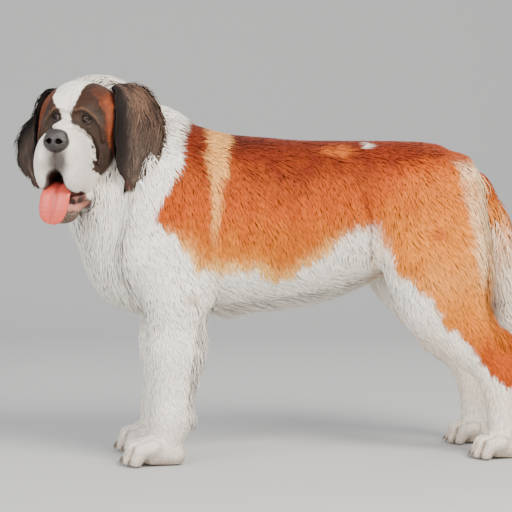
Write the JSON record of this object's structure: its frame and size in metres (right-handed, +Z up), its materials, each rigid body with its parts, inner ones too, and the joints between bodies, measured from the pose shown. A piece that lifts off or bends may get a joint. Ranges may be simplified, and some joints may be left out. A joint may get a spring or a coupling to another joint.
{
  "type": "saint bernard",
  "caption": "Life-size still model of a long-haired Saint Bernard dog standing square with its head turned to its left, mouth open and tongue out.",
  "frame": {"origin": "on the floor below the middle of the whole figure's box", "axes": "+Z up, the dog faces -X, its left side is -Y"},
  "size_m": [1.1928, 0.4244, 0.8566],
  "materials": {
    "white_coat": "long soft white fur, slightly cream in the folds",
    "orange_coat": "wavy mahogany to orange fur, paler towards the belly",
    "dark_coat": "black-brown fur of the face and ears",
    "lip_skin": "moist dark lip skin",
    "nose_leather": "pebbled dark grey nose skin",
    "tongue_skin": "moist pink tongue",
    "eye": "glossy dark brown eye"
  },
  "bodies": {
    "root": {"chest": "white_coat", "barrel": "orange_coat", "rump": "orange_coat", "neck": "white_coat", "foreleg_left": "white_coat", "forepaw_left": "white_coat", "thigh_left": "orange_coat", "shank_left": "orange_coat", "hock_left": "white_coat", "hindpaw_left": "white_coat", "foreleg_right": "white_coat", "forepaw_right": "white_coat", "thigh_right": "orange_coat", "shank_right": "orange_coat", "hock_right": "white_coat", "hindpaw_right": "white_coat", "eye_left": "eye", "eye_right": "eye", "head": "dark_coat", "muzzle": "white_coat", "nose": "nose_leather", "lower_jaw": "lip_skin", "tongue": "tongue_skin", "ear_left": "dark_coat", "ear_right": "dark_coat", "tail_root": "orange_coat", "tail_plume": "white_coat"}
  },
  "joints": []
}
